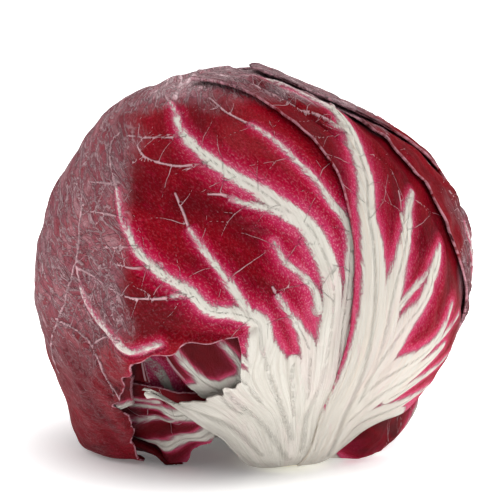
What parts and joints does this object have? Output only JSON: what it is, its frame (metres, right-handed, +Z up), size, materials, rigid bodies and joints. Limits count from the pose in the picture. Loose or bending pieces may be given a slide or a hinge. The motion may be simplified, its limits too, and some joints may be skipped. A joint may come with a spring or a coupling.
{
  "type": "radicchio head",
  "caption": "Round head of red chicory standing on its cut stem: broad white-ribbed crimson leaves wrapped over one another, the front left one torn open low down.",
  "frame": {"origin": "on the floor under the middle of the head's bounding box", "axes": "+Z up; -Y the front, where the broad front leaves meet and the stem end leans; +X to the right seen from the front"},
  "size_m": [0.1218, 0.1186, 0.1105],
  "materials": {
    "outer_leaves": "satin, crimson with cream-white ribs",
    "inner_leaves": "satin, crimson with cream-white ribs",
    "heart_leaves": "satin, folded crimson and cream leaves",
    "stem_flesh": "matte, cream-yellow cut flesh"
  },
  "bodies": {
    "root": {"heart": "heart_leaves", "inner_leaf_01": "inner_leaves", "inner_leaf_02": "inner_leaves", "inner_leaf_03": "inner_leaves", "inner_leaf_04": "inner_leaves", "inner_leaf_05": "inner_leaves", "inner_leaf_06": "inner_leaves", "inner_leaf_07": "inner_leaves", "inner_leaf_08": "inner_leaves", "inner_leaf_09": "inner_leaves", "inner_leaf_10": "inner_leaves", "outer_leaf_back": "outer_leaves", "outer_leaf_back_left": "outer_leaves", "outer_leaf_back_right": "outer_leaves", "outer_leaf_front_left": "outer_leaves", "outer_leaf_front_right": "outer_leaves", "outer_leaf_low_right": "outer_leaves", "outer_leaf_right": "outer_leaves", "outer_leaf_under_right": "outer_leaves", "stem": "stem_flesh", "torn_leaf_left": "outer_leaves", "torn_leaf_lobe": "outer_leaves"}
  },
  "joints": []
}
